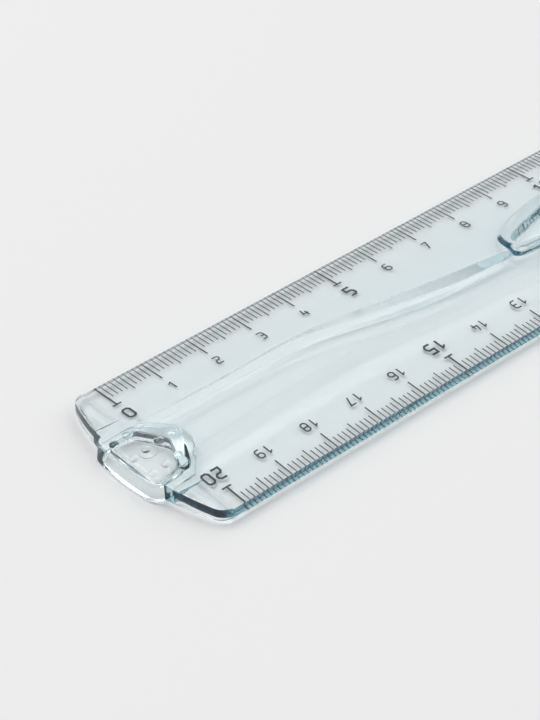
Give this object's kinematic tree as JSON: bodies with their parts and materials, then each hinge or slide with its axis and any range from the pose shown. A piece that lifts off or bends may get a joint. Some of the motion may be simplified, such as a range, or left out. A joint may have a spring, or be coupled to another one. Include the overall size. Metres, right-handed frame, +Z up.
{
  "type": "ruler",
  "caption": "Clear plastic ruler with a centimetre scale along each edge, a raised finger grip in the middle and a studded pad at each end.",
  "frame": {"origin": "bottom centre of the box, on the plane of the pads' soles", "axes": "+X along the ruler, towards the end where the lower scale starts; +Y towards the upper scale's edge; +Z up through the thickness"},
  "size_m": [0.2214, 0.0376, 0.0053],
  "materials": {
    "clear_blade": "clear, polished",
    "clear_insert": "clear, polished",
    "ink": "flat dark grey print"
  },
  "bodies": {
    "root": {"blade": "clear_blade", "left_end_pad": "clear_insert", "right_end_pad": "clear_insert", "finger_grip": "clear_insert", "upper_fine_marks": "ink", "upper_half_marks": "ink", "upper_cm_marks": "ink", "upper_main_marks": "ink", "upper_numbers": "ink", "upper_main_numbers": "ink", "lower_fine_marks": "ink", "lower_half_marks": "ink", "lower_cm_marks": "ink", "lower_main_marks": "ink", "lower_numbers": "ink", "lower_main_numbers": "ink"}
  },
  "joints": []
}
